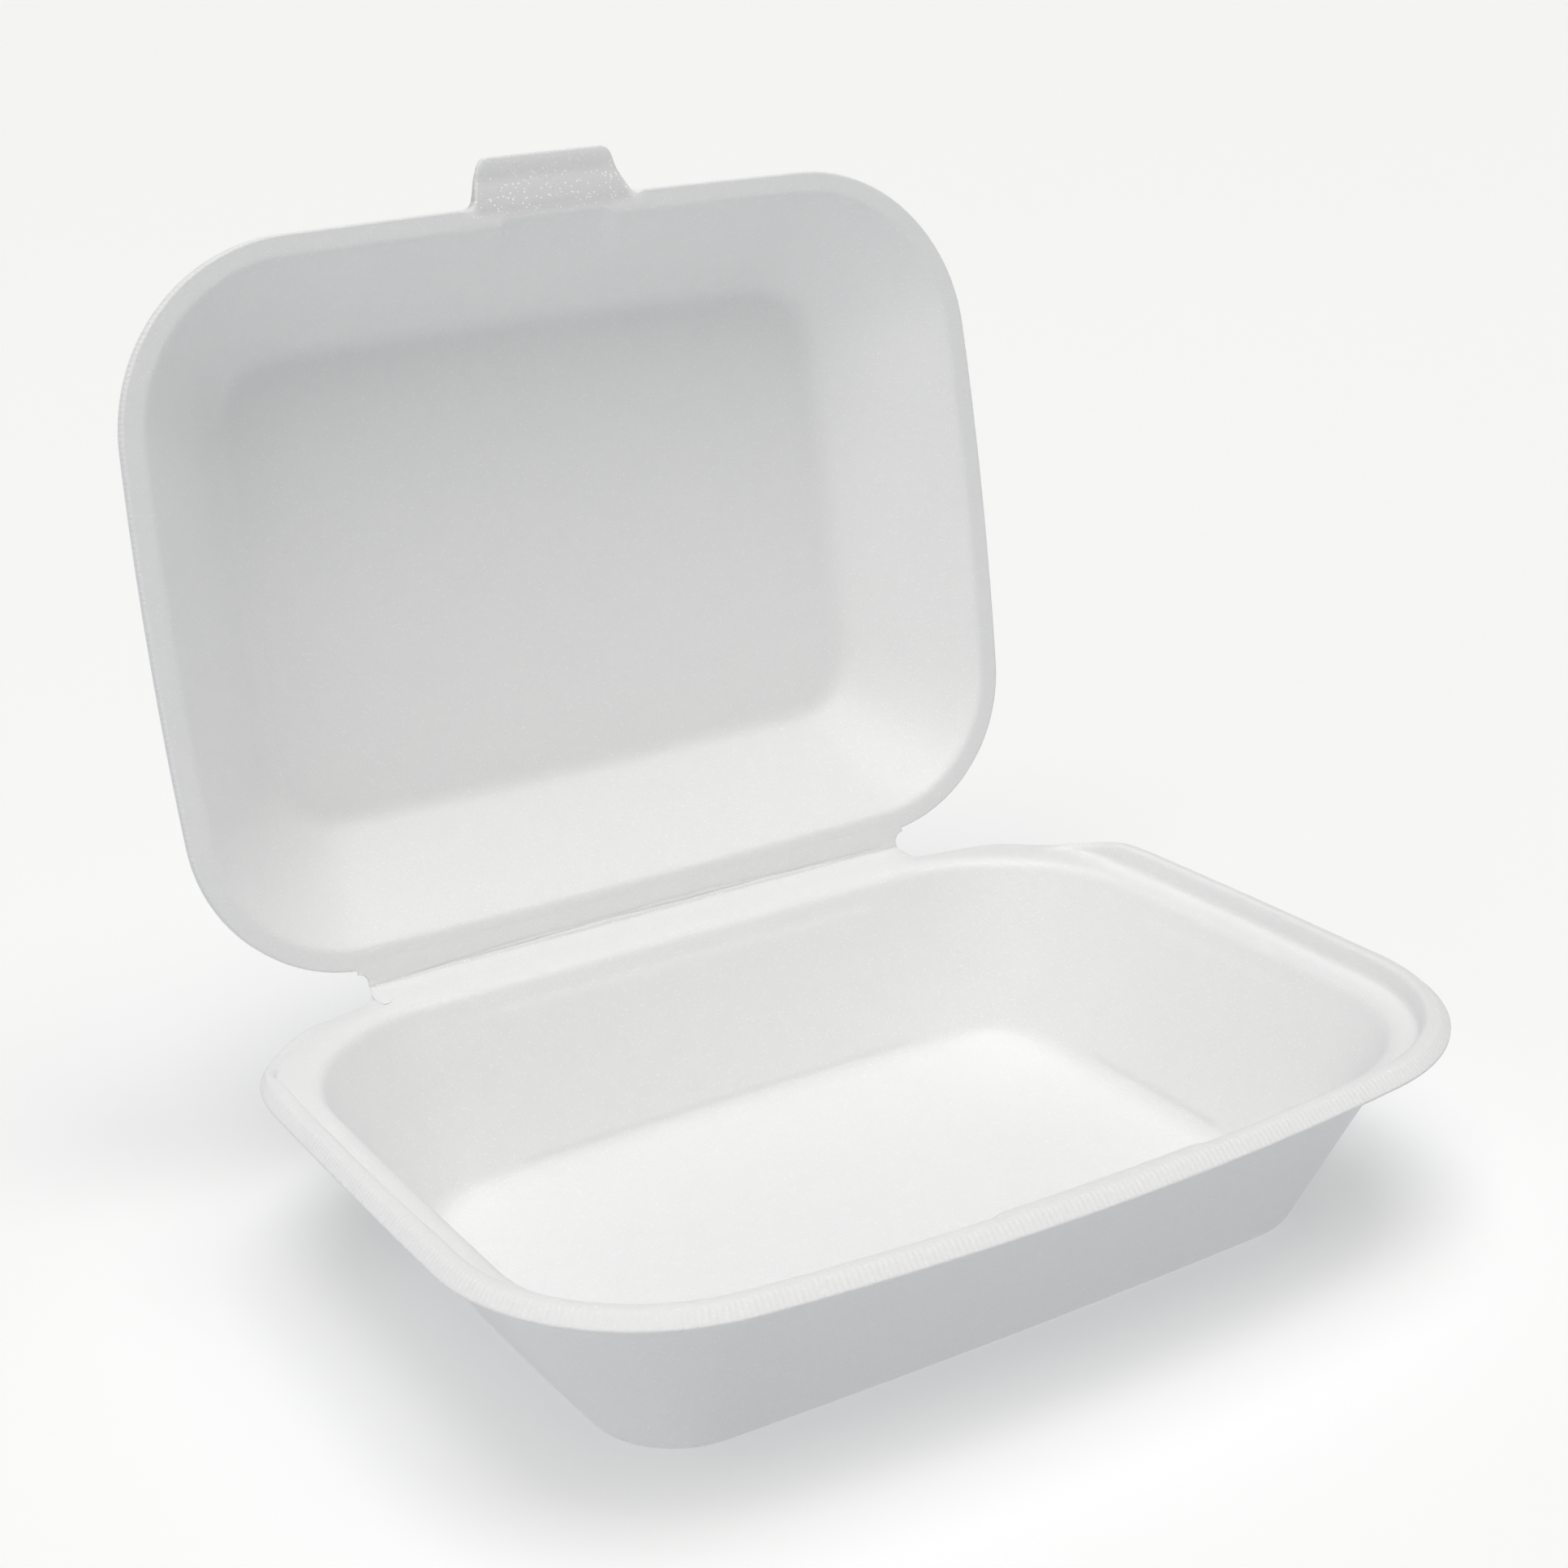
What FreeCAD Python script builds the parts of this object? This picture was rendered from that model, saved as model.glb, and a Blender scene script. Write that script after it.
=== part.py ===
"""Hinged foam takeaway box, standing open as one moulded sheet with a living hinge.

The origin is on the flat underside, below the middle of the rim, +Z up, the long side along X and the
hinge at the back (+Y). Sizes are in millimetres.
"""
import FreeCAD
import Part

import math
import os
from collections import namedtuple

# Foam sheet
BASE_SHEET = 2.6          # wall of the base
BASE_FLOOR = 3.2          # floor of the base, thicker than its walls
LID_SHEET = 1.7           # wall and panel of the lid, drawn thinner
FLANGE_SHEET = 2.6        # flanges keep the full sheet thickness

# Outer edge of the base flange, and how it bows (angles at the ends of each side)
RIM_WIDTH = 185.0
RIM_DEPTH = 143.6
RIM_FRONT_CORNER = 38.0
RIM_BACK_CORNER = 40.8
RIM_FRONT_BOW = 7.6
RIM_BACK_BOW = 0.5
RIM_SIDE_BOW = 0.6

# Heights on the base
LIP_Z = 36.2              # lower edge of the flange
LEDGE_DROP = 4.0          # flange top down to the ledge that the lid rests on
LEDGE_WIDTH = 5.6
FLANGE_WIDTH = 4.6

# Underside of the base
FOOT_WIDTH = 127.0        # flat part that stands on the table
FOOT_DEPTH = 84.0
FOOT_CORNER = 11.0
FOOT_BACK_SHIFT = 2.2     # the back wall is steeper than the front one
FOOT_BOW = 2.0
FOOT_FILLET = 5.0         # outer radius between underside and wall
WALL_TOP_INSET = 9.2      # outer skin of the wall below the ledge, from the rim
BEAD_FADE_END = 12.8      # from the back edge to where the flange has sunk to the ledge
BEAD_FADE_LENGTH = 13.0   # and over this length before that it slopes down

# Lid
LID_CLEARANCE = 0.4       # all round, inside the step of the base flange
LID_FRONT_GAP = 4.8       # to the step of the base flange at the middle, where the rim bows out
LID_FRONT_CORNER = 34.9
LID_BACK_CORNER = 30.7
LID_LONG_BOW = 0.9
LID_SIDE_BOW = 2.6
LID_FLANGE_WIDTH = 4.0
LID_CAVITY = 21.2         # flange face to the inside of the panel
PANEL_WIDTH = 121.0       # flat inside of the panel
PANEL_DEPTH = 84.5
PANEL_CORNER = 10.0
PANEL_FRONT_SHIFT = 1.2   # the panel sits a little nearer the front edge
PANEL_BOW = 1.5
PANEL_FILLET = 6.0        # inner radius between panel and wall

# Hinge along the middle of the back
HINGE_PAST_RIM = 1.4      # from the back edge of the base out to the crease
HINGE_RISE = 0.5          # from the ledge up to the crease
HINGE_HALF_LENGTH = 57.5
HINGE_TO_LID = 2.7        # crease to the near edge of the lid flange
CREASE_GAP = 0.2          # each half of the hinge web stops this far from the crease
CREASE_THICKNESS = 0.9
LID_OPEN_ANGLE = 97.7     # as it stands in the photo; 0 is closed

# Closing tab on the front edge of the lid
TAB_LENGTH = 8.1
TAB_ROOT_HALF = 15.6
TAB_TIP_HALF = 13.2
TAB_CORNER = 2.4
TAB_THICKNESS = 1.9
TAB_RISE = 4.4            # the tip is this far above the flange face, to pass over the rim
TAB_RAMP = 4.9            # length over which it rises
TAB_CLEARANCE = 0.3       # above the rim that it passes over

FILLET_STEPS = 4

WALL_ANGLE = 61.0         # slope of the base walls, from the horizontal
LID_WALL_ANGLE = 45.0

Outline = namedtuple("Outline", "width depth front_corner back_corner front_bow back_bow side_bow centre_y")

RIM = Outline(RIM_WIDTH, RIM_DEPTH, RIM_FRONT_CORNER, RIM_BACK_CORNER,
              RIM_FRONT_BOW, RIM_BACK_BOW, RIM_SIDE_BOW, 0.0)
FOOT = Outline(FOOT_WIDTH, FOOT_DEPTH, FOOT_CORNER, FOOT_CORNER,
               FOOT_BOW, FOOT_BOW, FOOT_BOW, FOOT_BACK_SHIFT)

FLANGE_TOP_Z = LIP_Z + FLANGE_SHEET
LEDGE_Z = FLANGE_TOP_Z - LEDGE_DROP
LEDGE_UNDER_Z = LEDGE_Z - BASE_SHEET + 0.3
SHELF_INSET = FLANGE_WIDTH + 1.2
HINGE_Y = RIM_DEPTH / 2 + HINGE_PAST_RIM
HINGE_Z = LEDGE_Z + HINGE_RISE
TAB_LIFT = FLANGE_TOP_Z - HINGE_Z

LID_BACK_Y = HINGE_Y - HINGE_TO_LID
LID_FRONT_Y = FLANGE_WIDTH + LID_FRONT_GAP - RIM_DEPTH / 2
LID_DEPTH = LID_BACK_Y - LID_FRONT_Y
LID_WIDTH = RIM_WIDTH - 2 * (FLANGE_WIDTH + LID_CLEARANCE)
LID_CENTRE_Y = (LID_BACK_Y + LID_FRONT_Y) / 2
LID_RIM = Outline(LID_WIDTH, LID_DEPTH, LID_FRONT_CORNER, LID_BACK_CORNER,
                  LID_LONG_BOW, LID_LONG_BOW, LID_SIDE_BOW, LID_CENTRE_Y)
PANEL = Outline(PANEL_WIDTH, PANEL_DEPTH, PANEL_CORNER, PANEL_CORNER,
                PANEL_BOW, PANEL_BOW, PANEL_BOW, LID_CENTRE_Y - PANEL_FRONT_SHIFT)


def inset(outline, distance):
    """The outline moved inwards all round; a negative distance moves it outwards."""
    return outline._replace(
        width=outline.width - 2 * distance,
        depth=outline.depth - 2 * distance,
        front_corner=outline.front_corner - distance,
        back_corner=outline.back_corner - distance,
    )


def quarter(outline, back):
    """Three tangent arcs from the side middle to the front or back middle, for x > 0, y > 0."""
    corner = outline.back_corner if back else outline.front_corner
    long_bow = math.radians(outline.back_bow if back else outline.front_bow)
    side_bow = math.radians(outline.side_bow)
    half_width = outline.width / 2
    half_depth = outline.depth / 2
    sin_long = math.sin(long_bow)
    sin_side = math.sin(side_bow)
    sag_long = 1 - math.cos(long_bow)
    sag_side = 1 - math.cos(side_bow)
    determinant = sin_long * sin_side - sag_long * sag_side
    run = half_width - corner
    rise = half_depth - corner
    long_radius = corner + (run * sin_side - rise * sag_side) / determinant
    side_radius = corner + (rise * sin_long - run * sag_long) / determinant

    def on_side(angle):
        return (half_width - side_radius * (1 - math.cos(angle)), side_radius * math.sin(angle))

    def on_long(angle):
        return (long_radius * math.sin(angle), half_depth - long_radius * (1 - math.cos(angle)))

    corner_start = on_side(side_bow)
    corner_end = on_long(long_bow)
    centre = (corner_end[0] - corner * sin_long, corner_end[1] - corner * math.cos(long_bow))
    middle = (math.pi / 2 - long_bow + side_bow) / 2
    corner_middle = (centre[0] + corner * math.cos(middle), centre[1] + corner * math.sin(middle))
    return on_side(0), on_side(side_bow / 2), corner_start, corner_middle, corner_end, on_long(0)


def ring(outline, z):
    """Closed wire of ten tangent arcs at one height, from the right side round by the back."""
    side, back_side, back_start, back_middle, back_end, back_mid = quarter(outline, True)
    _, front_side, front_start, front_middle, front_end, front_mid = quarter(outline, False)

    def place(point, sign_x, sign_y):
        return FreeCAD.Vector(sign_x * point[0], outline.centre_y + sign_y * point[1], z)

    arcs = [
        (place(side, 1, 1), place(back_side, 1, 1), place(back_start, 1, 1)),
        (place(back_start, 1, 1), place(back_middle, 1, 1), place(back_end, 1, 1)),
        (place(back_end, 1, 1), place(back_mid, 1, 1), place(back_end, -1, 1)),
        (place(back_end, -1, 1), place(back_middle, -1, 1), place(back_start, -1, 1)),
        (place(back_start, -1, 1), place(back_side, -1, 1), place(side, -1, 1)),
        (place(side, -1, -1), place(front_side, -1, -1), place(front_start, -1, -1)),
        (place(front_start, -1, -1), place(front_middle, -1, -1), place(front_end, -1, -1)),
        (place(front_end, -1, -1), place(front_mid, -1, -1), place(front_end, 1, -1)),
        (place(front_end, 1, -1), place(front_middle, 1, -1), place(front_start, 1, -1)),
        (place(front_start, 1, -1), place(front_side, 1, -1), place(side, 1, -1)),
    ]
    return Part.Wire([Part.Arc(*arc).toShape() for arc in arcs])


def fillet_steps(outline, radius, angle, z, direction):
    """Rings that turn from a flat face into a wall; direction is +1 up or -1 down from z."""
    rings = []
    for step in range(FILLET_STEPS + 1):
        turn = math.radians(angle) * step / FILLET_STEPS
        grown = inset(outline, -radius * math.sin(turn))
        rings.append(ring(grown, z + direction * radius * (1 - math.cos(turn))))
    return rings


def rim_rings(outline, section):
    """Rings of a flange: the section is a list of (distance in from the edge, height)."""
    return [ring(inset(outline, distance), z) for distance, z in section]


def closed_loft(rings):
    """Solid between the first and last flat faces, with straight rulings between rings."""
    return Part.makeLoft(rings, True, True)


def base_shell():
    """Tray: underside, outer wall, flange with its step and ledge, inner wall, floor."""
    ledge_inner = FLANGE_WIDTH + LEDGE_WIDTH
    outside = [
        (WALL_TOP_INSET, LEDGE_Z - BASE_SHEET - 0.5),
        (WALL_TOP_INSET - 1.2, LEDGE_Z - BASE_SHEET + 0.1),
        (5.2, LEDGE_UNDER_Z),
        (2.8, LIP_Z),
        (0.4, LIP_Z),
        (0.0, LIP_Z + 0.4),
        (0.0, FLANGE_TOP_Z - 0.5),
        (0.4, FLANGE_TOP_Z - 0.1),
        (1.1, FLANGE_TOP_Z),
        (FLANGE_WIDTH - 0.8, FLANGE_TOP_Z),
        (FLANGE_WIDTH - 0.1, FLANGE_TOP_Z - 0.6),
        (FLANGE_WIDTH, LEDGE_Z + 0.3),
        (FLANGE_WIDTH + 0.4, LEDGE_Z),
        (ledge_inner - 2.0, LEDGE_Z - 0.1),
        (ledge_inner - 0.6, LEDGE_Z - 0.6),
        (ledge_inner + 0.5, LEDGE_Z - 1.8),
    ]
    sheet_out = BASE_SHEET * math.sin(math.radians(WALL_ANGLE)) / 2
    floor = inset(FOOT, sheet_out)
    inner_radius = FOOT_FILLET
    rings = fillet_steps(FOOT, FOOT_FILLET, WALL_ANGLE, 0.0, 1)
    rings += rim_rings(RIM, outside)
    rings += list(reversed(fillet_steps(floor, inner_radius, WALL_ANGLE, BASE_FLOOR, 1)))
    return closed_loft(rings)


def lid_shell():
    """Lid in its closed place: inside of the panel, inner wall, flange, outer wall, panel."""
    section = [
        (LID_FLANGE_WIDTH + 1.6, HINGE_Z + 1.6),
        (LID_FLANGE_WIDTH + 0.5, HINGE_Z + 0.6),
        (LID_FLANGE_WIDTH - 0.4, HINGE_Z),
        (0.4, HINGE_Z),
        (0.0, HINGE_Z + 0.4),
        (0.0, HINGE_Z + FLANGE_SHEET - 0.4),
        (0.4, HINGE_Z + FLANGE_SHEET),
        (LID_FLANGE_WIDTH - 0.9, HINGE_Z + FLANGE_SHEET),
    ]
    inside = fillet_steps(PANEL, PANEL_FILLET, LID_WALL_ANGLE, HINGE_Z + LID_CAVITY, -1)
    outer_radius = PANEL_FILLET + LID_SHEET
    top = HINGE_Z + LID_CAVITY + LID_SHEET
    outside = fillet_steps(PANEL, outer_radius, LID_WALL_ANGLE, top, -1)
    return closed_loft(inside + rim_rings(LID_RIM, section) + list(reversed(outside)))


def tab_outline():
    """Plan of the tab with rounded tip corners and a wide root inside the lid flange."""
    edge = LID_CENTRE_Y - LID_DEPTH / 2
    root = edge + LID_FLANGE_WIDTH
    tip = edge - TAB_LENGTH
    corners = [
        FreeCAD.Vector(-TAB_ROOT_HALF, root, 0),
        FreeCAD.Vector(-TAB_ROOT_HALF, edge, 0),
        FreeCAD.Vector(-TAB_TIP_HALF, tip, 0),
        FreeCAD.Vector(TAB_TIP_HALF, tip, 0),
        FreeCAD.Vector(TAB_ROOT_HALF, edge, 0),
        FreeCAD.Vector(TAB_ROOT_HALF, root, 0),
    ]
    plan = Part.Face(Part.makePolygon(corners + corners[:1]))
    block = plan.extrude(FreeCAD.Vector(0, 0, TAB_RISE + 10))
    tips = [edge_ for edge_ in block.Edges
            if len(edge_.Vertexes) == 2 and all(abs(v.Y - tip) < 1e-6 for v in edge_.Vertexes)
            and abs(edge_.Vertexes[0].X - edge_.Vertexes[1].X) < 1e-6]
    return block.makeFillet(TAB_CORNER, tips)


def lid_tab():
    """Closing tab: it climbs from the flange so that it passes over the rim of the base."""
    edge = LID_CENTRE_Y - LID_DEPTH / 2
    root = edge + LID_FLANGE_WIDTH
    start = edge + 1.0
    ramp_end = start - TAB_RAMP
    tip = edge - TAB_LENGTH
    lift = TAB_LIFT + TAB_CLEARANCE
    lower = [(root, 0.0), (start, 0.0), (ramp_end, lift), (tip - 1, max(TAB_RISE, lift))]
    upper = [(y, z + TAB_THICKNESS) for y, z in lower]
    upper[0] = (root, FLANGE_SHEET)
    upper[1] = (start + 0.8, FLANGE_SHEET)
    points = lower + list(reversed(upper))
    profile = [FreeCAD.Vector(-TAB_ROOT_HALF - 5, y, HINGE_Z + z) for y, z in points]
    face = Part.Face(Part.makePolygon(profile + profile[:1]))
    slab = face.extrude(FreeCAD.Vector(2 * TAB_ROOT_HALF + 10, 0, 0))
    plan = tab_outline()
    plan.translate(FreeCAD.Vector(0, 0, HINGE_Z - 1))
    return slab.common(plan)


def web(points):
    """Strip along the hinge from a section in the YZ plane."""
    section = [FreeCAD.Vector(-HINGE_HALF_LENGTH, y, z) for y, z in points]
    face = Part.Face(Part.makePolygon(section + section[:1]))
    return face.extrude(FreeCAD.Vector(2 * HINGE_HALF_LENGTH, 0, 0))


def base_web():
    """Base half of the hinge: the ledge carried on to the crease and thinned there."""
    inner = RIM_DEPTH / 2 - SHELF_INSET
    step = RIM_DEPTH / 2 - FLANGE_WIDTH
    end = HINGE_Y - CREASE_GAP
    top = HINGE_Z - CREASE_GAP
    return web([
        (inner, LEDGE_UNDER_Z),
        (inner, LEDGE_Z),
        (step, LEDGE_Z),
        (end - 1.2, top),
        (end, top),
        (end, top - CREASE_THICKNESS),
        (end - 1.6, top - BASE_SHEET),
    ])


def lid_web():
    """Lid half of the hinge, in the lid's closed place."""
    near = HINGE_Y - CREASE_GAP
    edge = HINGE_Y - HINGE_TO_LID
    bottom = HINGE_Z + CREASE_GAP
    return web([
        (near, bottom),
        (edge - 1.0, bottom),
        (edge - 1.0, HINGE_Z + FLANGE_SHEET),
        (edge, HINGE_Z + FLANGE_SHEET),
        (near, bottom + CREASE_THICKNESS),
    ])


def back_flange():
    """Flange made solid down to the underside of the ledge, from the back corners to the hinge."""
    height = FreeCAD.Vector(0, 0, FLANGE_TOP_Z - LEDGE_UNDER_Z)
    outer = Part.Face(ring(RIM, LEDGE_UNDER_Z)).extrude(height)
    inner = Part.Face(ring(inset(RIM, SHELF_INSET), LEDGE_UNDER_Z)).extrude(height)
    corner = RIM_DEPTH / 2 - RIM_BACK_CORNER
    zone = Part.makeBox(RIM_WIDTH, RIM_DEPTH, 20, FreeCAD.Vector(-RIM_WIDTH / 2, corner, LEDGE_UNDER_Z))
    return outer.cut(inner).common(zone)


def bead_fade():
    """Cut that slopes from the flange top down to the ledge, towards the hinge."""
    end = RIM_DEPTH / 2 - BEAD_FADE_END
    start = end - BEAD_FADE_LENGTH
    section = [
        FreeCAD.Vector(-RIM_WIDTH, start, FLANGE_TOP_Z),
        FreeCAD.Vector(-RIM_WIDTH, end, LEDGE_Z),
        FreeCAD.Vector(-RIM_WIDTH, RIM_DEPTH, LEDGE_Z),
        FreeCAD.Vector(-RIM_WIDTH, RIM_DEPTH, FLANGE_TOP_Z + 10),
        FreeCAD.Vector(-RIM_WIDTH, start, FLANGE_TOP_Z + 10),
    ]
    face = Part.Face(Part.makePolygon(section + section[:1]))
    return face.extrude(FreeCAD.Vector(2 * RIM_WIDTH, 0, 0))


def lid_recess():
    """Room above the ledge for the closed lid, which narrows the flange towards the hinge."""
    grown = inset(LID_RIM, -LID_CLEARANCE)
    return Part.Face(ring(grown, HINGE_Z - LID_CLEARANCE)).extrude(FreeCAD.Vector(0, 0, 20))


def base():
    """Tray whose flange sinks to the ledge at the back, where the web carries it to the crease."""
    shell = base_shell().fuse(back_flange()).cut(lid_recess())
    return shell.cut(bead_fade()).fuse(base_web()).removeSplitter()


def lid():
    """Lid with its tab and its half of the hinge, swung open about the crease."""
    closed = lid_shell().fuse([lid_tab(), lid_web()]).removeSplitter()
    crease = FreeCAD.Vector(0, HINGE_Y, HINGE_Z)
    closed.rotate(crease, FreeCAD.Vector(1, 0, 0), -LID_OPEN_ANGLE)
    return closed


def main():
    os.makedirs("parts", exist_ok=True)
    for name, maker in (("base", base), ("lid", lid)):
        shape = maker()
        solid = shape.Solids[0] if len(shape.Solids) == 1 else shape
        solid.exportStep(os.path.join("parts", name + ".step"))
        print(name, "valid", solid.isValid(), "solids", len(shape.Solids),
              "volume", round(solid.Volume), "centre", solid.Solids[0].CenterOfMass)


main()
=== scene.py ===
"""Looks of the hinged foam takeaway box: one moulded sheet of white foam, standing open.

Lengths are in millimetres until a mesh is made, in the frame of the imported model: origin under the middle
of the base, +Z up, the hinge along X at the back (+Y).
"""

import math
from collections import namedtuple

import bpy
import numpy as np
from mathutils import Matrix, Vector

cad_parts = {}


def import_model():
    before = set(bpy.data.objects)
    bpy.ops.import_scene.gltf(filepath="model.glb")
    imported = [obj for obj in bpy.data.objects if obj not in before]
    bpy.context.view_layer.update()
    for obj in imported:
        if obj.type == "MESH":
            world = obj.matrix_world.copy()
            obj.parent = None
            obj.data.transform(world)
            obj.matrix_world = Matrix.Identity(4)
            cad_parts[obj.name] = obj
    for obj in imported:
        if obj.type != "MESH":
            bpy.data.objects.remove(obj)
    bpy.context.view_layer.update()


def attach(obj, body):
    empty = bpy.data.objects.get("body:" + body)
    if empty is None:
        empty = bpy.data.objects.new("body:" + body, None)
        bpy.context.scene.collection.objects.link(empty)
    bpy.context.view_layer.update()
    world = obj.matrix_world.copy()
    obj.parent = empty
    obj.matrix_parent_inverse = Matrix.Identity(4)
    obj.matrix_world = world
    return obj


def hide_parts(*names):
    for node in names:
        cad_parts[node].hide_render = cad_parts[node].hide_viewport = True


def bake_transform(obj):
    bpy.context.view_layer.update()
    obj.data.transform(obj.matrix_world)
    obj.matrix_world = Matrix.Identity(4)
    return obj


MM = 0.001

# Base, as the solids have it
BASE_SHEET = 2.6
BASE_FLOOR = 3.2
FLANGE_SHEET = 2.6
RIM_WIDTH = 185.0
RIM_DEPTH = 143.6
LIP_Z = 36.2
LEDGE_DROP = 4.0
FLANGE_WIDTH = 4.6
FLANGE_TOP_Z = LIP_Z + FLANGE_SHEET
LEDGE_Z = FLANGE_TOP_Z - LEDGE_DROP
LEDGE_UNDER_Z = LEDGE_Z - BASE_SHEET + 0.3
WALL_TOP_INSET = 9.2
WALL_ANGLE = math.radians(61.0)

# Base, where the scene is finer than the solids or differs from them
FOOT_FILLET = 5.0               # inside, between floor and wall
SOLE_FILLET = 3.0               # outside, between underside and wall
SOLE_GROWTH = 2.3               # how far the outside of the foot stands out from the solid's foot
BEAD_FADE_Y = (38.0, 60.0)      # between these the bead of the rim sinks to the ledge
STEP_INSET = 5.4                # from the base's edge to the foot of the bead
STEP_SHIFT = 2.5                # at most this much nearer to the edge, where the closed lid lies beside it
SEAT_WIDENING = 0.8             # the bead is wider where the tab rests on it
SEAT_HALF = 19.0
NOTCH_DROOP = 1.25              # the edge hangs a little beside each end of the hinge
DROOP_START = (56.5, 61.0)      # from the middle, where the droop sets in
DROOP_END = (63.0, 77.0)        # and where it ends
EMBOSS = 0.28                   # faint raised panels on the inner walls
EMBOSS_HALF_X = 42.0
EMBOSS_HALF_Y = 18.0
EMBOSS_CENTRE_Y = 3.0
EMBOSS_TOP_Z = 30.2

# Hinge
HINGE_Y = RIM_DEPTH / 2 + 1.4
HINGE_Z = LEDGE_Z + 0.5
HINGE_HALF_LENGTH = 57.5
HINGE_TO_LID = 2.7
CREASE_THICKNESS = 0.9
NOTCH_FILLETS = (0.6, 1.8)      # at the base's edge and at the lid's edge
WRINKLE = 0.2
OVERLAP = 0.04                  # the hinge strip lies this far proud of the faces that it runs onto
LID_OPEN_ANGLE = 97.7

# Lid
LID_SHEET = 1.7
LID_WIDTH = 175.0
LID_FRONT_GAP = 4.8             # from the foot of the bead to the lid's edge, at the front
LID_BACK_Y = HINGE_Y - HINGE_TO_LID
LID_FRONT_Y = FLANGE_WIDTH + LID_FRONT_GAP - RIM_DEPTH / 2
LID_DEPTH = LID_BACK_Y - LID_FRONT_Y
LID_CENTRE_Y = (LID_BACK_Y + LID_FRONT_Y) / 2
LID_CREST_INSET = 3.6           # from the lid's edge to where its flange turns into the wall
LID_CAVITY = 21.2
LID_WALL_ANGLE = math.radians(45.0)
PANEL_FILLET = 6.0

# Closing tab, with its right and left sides each as the photo shows them
TAB_LENGTH = 8.7
TAB_ROOTS = (16.4, 15.4)
TAB_TIPS = (14.4, 11.9)
TAB_ROOT_FILLETS = (0.9, 3.0)
TAB_CORNER = 2.4
TAB_SPAN = (9.0, 20.0)          # the columns crowd together between these
TAB_THICKNESS = 1.3
TAB_RISE = 3.9
POCKET = 1.3                    # the crest of the lid bulges towards the tab
POCKET_LEFT = (-10.9, -9.7)
POCKET_RIGHT = (9.4, 13.2)

# Edge left by the trimming knife
RIB_PITCH = 1.0

# Mesh
HINGE_COLUMNS = 46              # from the middle of the hinge to its end, on the base and the lid alike
COLUMN_STEP = 1.25              # along the front
FRONT_REACH = 60                # the front's even columns end before this
STRIP_POINTS = 96               # round the upper half of the hinge strip's section
STRIP_RINGS = 201

# Foam: textures in cells per metre, depths of the bumps in metres
CLOUD_SCALE = 140
GRAIN_SCALE = 3200
CELL_SCALE = 1500
PAINTED_GLINT_SCALE = 2500
CELL_DEPTH = 0.00004
GRAIN_DEPTH = 0.00005
RIB_DEPTH = 0.00003
BODY_DARK = (0.925, 0.93, 0.932)
BODY_LIGHT = (0.955, 0.955, 0.952)
SPECKLE_COLOUR = (0.87, 0.875, 0.88)
TRIM_COLOUR = (0.95, 0.95, 0.95)
# Painted shade: grey painted at the tab's root and along the hinge crease, where shade falls.
PAINTED_SHADE_COLOUR = (0.56, 0.55, 0.56)
# Painted highlights: a few cells painted white as glints, the same under any light.
PAINTED_GLINT_COLOUR = (1.0, 1.0, 1.0)
PAINTED_GLINT_CHOICE = 0.89             # the share of cells that don't glint
PAINTED_GLINT_SIZE = 0.45               # in cells

# Stage
FLOOR_HALF = 12.0               # metres
LIGHT_FROM_BELOW = (0.525, 0.54, 0.555)
HORIZON_LIGHT = (0.8, 0.8, 0.8)
CEILING_LIGHT = (0.28, 0.28, 0.28)

# Camera, found by matching the outlines of the box to the photograph
CAMERA_AZIMUTH = -29.93
CAMERA_ELEVATION = 18.68
CAMERA_ROLL = -2.97
CAMERA_TARGET = (-0.91, 29.60, 81.03)
CAMERA_DISTANCE = 455.23
CAMERA_LENS = 60.30
CAMERA_SHIFT = (0.02295, -0.02438)

Outline = namedtuple("Outline", "width depth front_corner back_corner front_bow back_bow side_bow centre_y")
Columns = namedtuple("Columns", "back arc share")

RIM = Outline(RIM_WIDTH, RIM_DEPTH, 38.0, 40.8, 7.6, 0.5, 0.6, 0.0)
FOOT = Outline(127.0, 84.0, 11.0, 11.0, 2.0, 2.0, 2.0, 2.2)
LID_RIM = Outline(LID_WIDTH, LID_DEPTH, 34.9, 30.7, 0.9, 0.9, 2.6, LID_CENTRE_Y)
PANEL = Outline(121.0, 84.5, 10.0, 10.0, 1.5, 1.5, 1.5, LID_CENTRE_Y - 1.2)


def inset(outline, distance):
    """The outline moved inwards all round; a negative distance moves it outwards."""
    return outline._replace(
        width=outline.width - 2 * distance,
        depth=outline.depth - 2 * distance,
        front_corner=outline.front_corner - distance,
        back_corner=outline.back_corner - distance,
    )


def arcs(outline, back):
    """Centre, radius, first and last direction of the side, corner and long arcs of a quarter."""
    corner = outline.back_corner if back else outline.front_corner
    long_bow = math.radians(outline.back_bow if back else outline.front_bow)
    side_bow = math.radians(outline.side_bow)
    half_width = outline.width / 2
    half_depth = outline.depth / 2
    sag_long = 1 - math.cos(long_bow)
    sag_side = 1 - math.cos(side_bow)
    determinant = math.sin(long_bow) * math.sin(side_bow) - sag_long * sag_side
    run = half_width - corner
    rise = half_depth - corner
    long_radius = corner + (run * math.sin(side_bow) - rise * sag_side) / determinant
    side_radius = corner + (rise * math.sin(long_bow) - run * sag_long) / determinant
    corner_x = (long_radius - corner) * math.sin(long_bow)
    corner_y = (side_radius - corner) * math.sin(side_bow)
    right = math.pi / 2
    return [
        ((half_width - side_radius, 0.0), side_radius, 0.0, side_bow),
        ((corner_x, corner_y), corner, side_bow, right - long_bow),
        ((0.0, half_depth - long_radius), long_radius, right - long_bow, right),
    ]


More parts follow.
